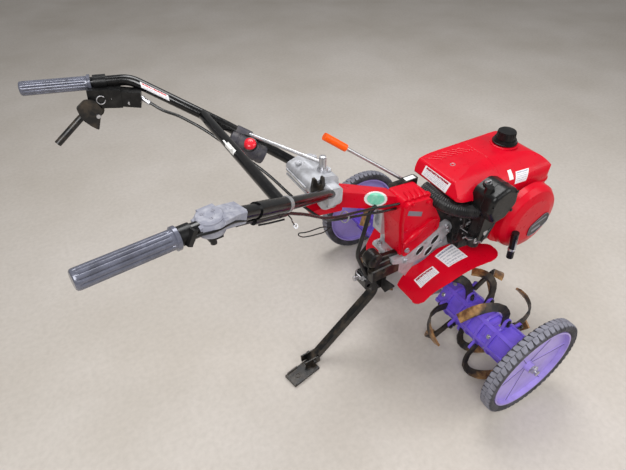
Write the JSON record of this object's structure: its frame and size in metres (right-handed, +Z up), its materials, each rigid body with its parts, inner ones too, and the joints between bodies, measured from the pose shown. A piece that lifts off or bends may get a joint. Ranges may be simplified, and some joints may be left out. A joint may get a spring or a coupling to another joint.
{
  "type": "hand tractor",
  "caption": "Walk-behind hand tractor with a petrol engine over a tined rotor axle, transport wheels, drag stake and tilting handlebars.",
  "frame": {"origin": "floor point under the middle of the machine's footprint", "axes": "+X forward to the engine, +Y to the left of the person at the grips, +Z up"},
  "size_m": [1.289, 0.916, 0.948],
  "materials": {
    "red_paint": "gloss",
    "cast_aluminium": "as cast",
    "black_paint": "gloss",
    "black_plastic": "satin",
    "black_rubber": "satin",
    "bare_steel": "satin",
    "purple_paint": "satin",
    "lilac_paint": "satin",
    "tine_steel": "dark with worn tips",
    "tyre_rubber": "dusty",
    "grey_plastic": "satin",
    "red_plastic": "gloss",
    "cable_sheath": "satin",
    "orange_plastic": "gloss"
  },
  "bodies": {
    "chassis": {"gear_case": "cast_aluminium", "engine_bed": "cast_aluminium", "transmission_case": "red_paint", "case_cover": "red_paint", "side_case": "cast_aluminium", "engine_block": "cast_aluminium", "fan_shroud": "red_paint", "recoil_starter": "red_paint", "starter_handle": "black_plastic", "fuel_tank": "red_paint", "fuel_cap": "black_plastic", "engine_cover": "red_paint", "air_cleaner": "black_plastic", "intake_duct": "black_rubber", "carburettor": "cast_aluminium", "muffler": "bare_steel", "handle_post": "red_paint", "pivot_pin": "bare_steel", "hitch_bracket": "black_paint", "hitch_pin": "bare_steel", "mud_flap": "black_rubber", "shift_gate": "black_paint", "shift_lever": "bare_steel", "shift_grip": "orange_plastic", "fender_right": "red_paint", "fender_left": "red_paint", "throttle_cable": "cable_sheath", "clutch_cable": "cable_sheath"},
    "rotor": {"rotor_axle": "bare_steel", "drum_right": "purple_paint", "drum_left": "purple_paint", "tines_right": "tine_steel", "tines_left": "tine_steel"},
    "wheel_right": {"tyre_right": "tyre_rubber", "wheel_disc_right": "lilac_paint"},
    "wheel_left": {"tyre_left": "tyre_rubber", "wheel_disc_left": "lilac_paint"},
    "stake": {"drag_stake": "black_paint", "stake_shoe": "black_paint"},
    "handle": {"clamp_block": "cast_aluminium", "clamp_latch": "black_paint", "lock_rod": "bare_steel", "crossbar": "black_paint", "tube_sleeve": "black_rubber", "handle_tube_right": "black_paint", "handle_tube_left": "black_paint", "grip_right": "black_rubber", "grip_left": "black_rubber", "clutch_housing": "black_plastic", "clutch_lever": "black_paint", "switch_box": "black_plastic", "switch_rocker": "red_plastic", "throttle_housing": "grey_plastic", "throttle_clamp": "black_plastic", "throttle_lever": "black_plastic", "upper_cable": "cable_sheath"}
  },
  "joints": [
    {"name": "rotor_spin", "type": "hinge", "parent": "chassis", "child": "rotor", "pos_m": [0.3445, 0, 0.17], "axis": [0, 1, 0], "continuous": true},
    {"name": "wheel_right_spin", "type": "hinge", "parent": "rotor", "child": "wheel_right", "pos_m": [0.3445, -0.428, 0.17], "axis": [0, 1, 0], "continuous": true},
    {"name": "wheel_left_spin", "type": "hinge", "parent": "rotor", "child": "wheel_left", "pos_m": [0.3445, 0.428, 0.17], "axis": [0, 1, 0], "continuous": true},
    {"name": "stake_slide", "type": "slide", "parent": "chassis", "child": "stake", "axis": [0, 0, 1], "range_m": [-0.05, 0]},
    {"name": "handle_tilt", "type": "hinge", "parent": "chassis", "child": "handle", "pos_m": [-0.1015, 0, 0.676], "axis": [0, 1, 0], "range_deg": [-12, 24], "deforming": ["throttle_cable", "clutch_cable"]}
  ]
}
